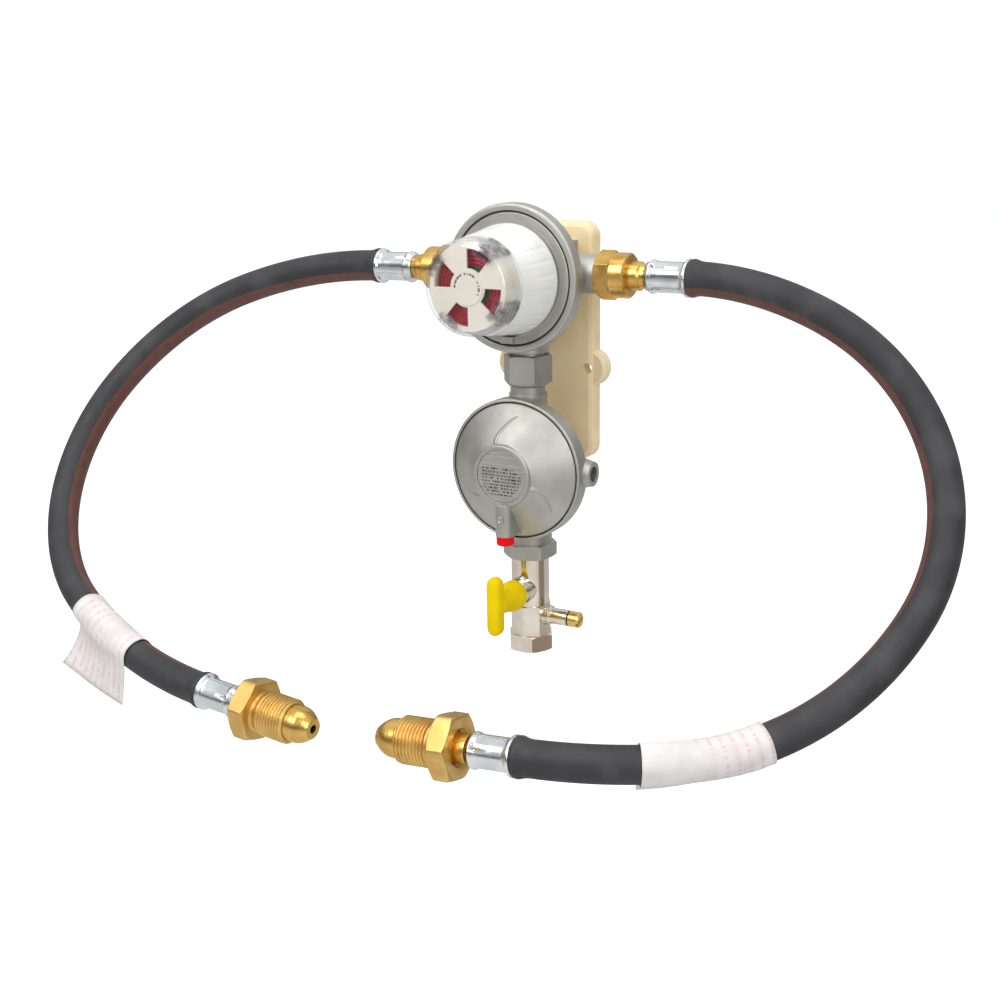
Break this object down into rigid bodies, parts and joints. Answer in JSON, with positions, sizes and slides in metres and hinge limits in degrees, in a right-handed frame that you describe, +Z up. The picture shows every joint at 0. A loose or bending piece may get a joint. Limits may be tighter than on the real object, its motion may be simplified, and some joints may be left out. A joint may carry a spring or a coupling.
{
  "type": "propane regulator hose set",
  "caption": "Wall-mounted automatic changeover gas regulator with second stage, ball valve and flexible hose pigtails ending in bull-nose cylinder fittings.",
  "frame": {"origin": "on the wall plane, midway between the two wall screws of the bracket", "axes": "+Z up, +Y into the wall, +X to the right as seen from the front"},
  "size_m": [0.5077, 0.2146, 0.2612],
  "materials": {
    "cream_plastic": "satin moulded",
    "steel": "bright zinc plated",
    "die_cast_zinc": "fine cast, satin lacquer",
    "black_rubber": "matt extruded",
    "brass": "turned",
    "zinc_plate": "bright zinc",
    "nickel_plate": "satin nickel",
    "white_plastic": "gloss moulded",
    "clear_plastic": "clear moulded",
    "mask_plastic": "satin",
    "drum_red": "satin",
    "plate_aluminium": "fine brushed",
    "white_nylon": "natural",
    "red_plastic": "moulded",
    "yellow_plastic": "moulded",
    "tag_paper": "plain printed"
  },
  "bodies": {
    "root": {"wall_bracket": "cream_plastic", "bracket_screws": "steel", "changeover_body": "die_cast_zinc", "changeover_bonnet": "die_cast_zinc", "changeover_diaphragm": "black_rubber", "changeover_spring": "steel", "indicator_spring": "steel", "union_nut": "die_cast_zinc", "union_nipple": "brass", "union_seal": "black_rubber", "stage2_body": "die_cast_zinc", "stage2_cover": "die_cast_zinc", "rating_plate": "plate_aluminium", "stage2_diaphragm": "black_rubber", "stage2_spring": "steel", "stage2_spring_cap": "white_nylon", "stage2_lever_pin": "steel", "reset_spring": "steel", "valve_body": "nickel_plate", "ball_seats": "white_nylon", "stem_nut": "nickel_plate", "test_nipple": "nickel_plate"},
    "changeover_piston": {"changeover_plate": "steel"},
    "rocker": {"changeover_rocker": "brass"},
    "left_plunger": {"left_inlet_valve": "brass"},
    "right_plunger": {"right_inlet_valve": "brass"},
    "selector": {"changeover_knob": "white_plastic", "indicator_dome": "clear_plastic", "indicator_mask": "mask_plastic"},
    "indicator": {"indicator_drum": "drum_red"},
    "stage2_piston": {"stage2_plate": "steel"},
    "lever": {"stage2_lever": "steel"},
    "stage2_plunger": {"stage2_valve": "brass"},
    "reset_button": {"reset_cap": "red_plastic", "reset_stem": "brass"},
    "shut_off": {"valve_handle": "yellow_plastic", "valve_stem": "nickel_plate", "valve_ball": "nickel_plate"},
    "test_washer": {"test_screw_washer": "black_rubber"},
    "test_plug": {"test_screw": "brass"},
    "left_inlet_union": {"left_inlet_nut": "brass"},
    "left_hose": {"left_inlet_tail": "brass", "left_inlet_ferrule": "zinc_plate", "left_hose_upper": "black_rubber"},
    "left_hose_end": {"left_hose_lower": "black_rubber", "left_date_tag": "tag_paper", "left_pol_ferrule": "zinc_plate", "left_pol_tail": "brass"},
    "left_cylinder_union": {"left_pol_nut": "brass"},
    "right_inlet_union": {"right_inlet_nut": "brass"},
    "right_hose": {"right_inlet_tail": "brass", "right_inlet_ferrule": "zinc_plate", "right_hose_upper": "black_rubber"},
    "right_hose_end": {"right_hose_lower": "black_rubber", "right_date_tag": "tag_paper", "right_pol_ferrule": "zinc_plate", "right_pol_tail": "brass"},
    "right_cylinder_union": {"right_pol_nut": "brass"}
  },
  "joints": [
    {"name": "knob_turn", "type": "hinge", "parent": "root", "child": "selector", "pos_m": [0, -0.08, 0.052], "axis": [0, -1, 0], "range_deg": [-90, 90]},
    {"name": "indicator_slide", "type": "slide", "parent": "root", "child": "indicator", "axis": [0, -1, 0], "range_m": [0, 0.0035], "deforming": ["indicator_spring"]},
    {"name": "changeover_plate_slide", "type": "slide", "parent": "root", "child": "changeover_piston", "axis": [0, -1, 0], "range_m": [-0.001, 0.0015], "deforming": ["changeover_spring", "changeover_diaphragm"]},
    {"name": "rocker_tilt", "type": "hinge", "parent": "root", "child": "rocker", "pos_m": [0, -0.0306, 0.052], "axis": [0, 0, 1], "range_deg": [-4.5, 4.5]},
    {"name": "left_valve_slide", "type": "slide", "parent": "root", "child": "left_plunger", "axis": [-1, 0, 0], "range_m": [-0.0006, 0.0008]},
    {"name": "right_valve_slide", "type": "slide", "parent": "root", "child": "right_plunger", "axis": [1, 0, 0], "range_m": [-0.0006, 0.0008]},
    {"name": "stage2_plate_slide", "type": "slide", "parent": "root", "child": "stage2_piston", "axis": [0, -1, 0], "range_m": [-0.0012, 0.0012], "stiffness_N_per_m": 100, "deforming": ["stage2_spring", "stage2_diaphragm"]},
    {"name": "stage2_lever_turn", "type": "hinge", "parent": "root", "child": "lever", "pos_m": [0, -0.028, -0.0372], "axis": [1, 0, 0], "range_deg": [-6, 6]},
    {"name": "stage2_valve_slide", "type": "slide", "parent": "root", "child": "stage2_plunger", "axis": [0, 0, 1], "range_m": [-0.0006, 0.0006]},
    {"name": "reset_slide", "type": "slide", "parent": "root", "child": "reset_button", "axis": [0, 0, -1], "range_m": [0, 0.005], "stiffness_N_per_m": 60, "springref_m": -0.0025, "deforming": ["reset_spring"]},
    {"name": "valve_turn", "type": "hinge", "parent": "root", "child": "shut_off", "pos_m": [0, -0.034, -0.1202], "axis": [0, -1, 0], "range_deg": [-90, 0]},
    {"name": "test_screw_travel", "type": "slide", "parent": "root", "child": "test_washer", "axis": [1, 0, 0], "range_m": [0, 0.0028]},
    {"name": "test_screw_turn", "type": "hinge", "parent": "test_washer", "child": "test_plug", "pos_m": [0.025, -0.034, -0.1362], "axis": [1, 0, 0], "range_deg": [0, 1441]},
    {"name": "left_inlet_nut_turn", "type": "hinge", "parent": "root", "child": "left_inlet_union", "pos_m": [-0.05, -0.034, 0.054], "axis": [1, 0, 0], "continuous": true},
    {"name": "left_hose_swivel", "type": "hinge", "parent": "root", "child": "left_hose", "pos_m": [-0.06, -0.034, 0.054], "axis": [1, 0, 0], "range_deg": [-35, 20], "stiffness_Nm_per_rad": 6, "springref_deg": -2.99},
    {"name": "left_hose_flex", "type": "hinge", "parent": "left_hose", "child": "left_hose_end", "pos_m": [-0.2568, -0.08419, -0.02219], "axis": [0.0697, 0.7876, -0.6122], "range_deg": [-4, 25], "stiffness_Nm_per_rad": 6, "springref_deg": -2.59},
    {"name": "left_pol_nut_turn", "type": "hinge", "parent": "left_hose_end", "child": "left_cylinder_union", "pos_m": [-0.0593, -0.19062, -0.14863], "axis": [0.9965, -0.0505, -0.0663], "continuous": true},
    {"name": "right_inlet_nut_turn", "type": "hinge", "parent": "root", "child": "right_inlet_union", "pos_m": [0.05, -0.034, 0.054], "axis": [1, 0, 0], "continuous": true},
    {"name": "right_hose_swivel", "type": "hinge", "parent": "root", "child": "right_hose", "pos_m": [0.06, -0.034, 0.054], "axis": [1, 0, 0], "range_deg": [-35, 20], "stiffness_Nm_per_rad": 6, "springref_deg": -2.95},
    {"name": "right_hose_flex", "type": "hinge", "parent": "right_hose", "child": "right_hose_end", "pos_m": [0.22668, -0.05838, -0.05899], "axis": [0.4329, -0.7278, 0.5318], "range_deg": [-4, 25], "stiffness_Nm_per_rad": 6, "springref_deg": -3.27},
    {"name": "right_pol_nut_turn", "type": "hinge", "parent": "right_hose_end", "child": "right_cylinder_union", "pos_m": [0.03581, -0.19893, -0.1389], "axis": [-0.9976, -0.0367, -0.0588], "continuous": true}
  ],
  "couplings": [
    {"joint": "rocker_tilt", "follows": "knob_turn", "ratio": 0.044444},
    {"joint": "left_valve_slide", "follows": "changeover_plate_slide", "ratio": 0.4},
    {"joint": "right_valve_slide", "follows": "changeover_plate_slide", "ratio": 0.4},
    {"joint": "stage2_lever_turn", "follows": "stage2_plate_slide", "rad_per_m": -76.923},
    {"joint": "stage2_valve_slide", "follows": "stage2_plate_slide", "ratio": 0.46154},
    {"joint": "test_screw_turn", "follows": "test_screw_travel", "rad_per_m": 8976}
  ]
}
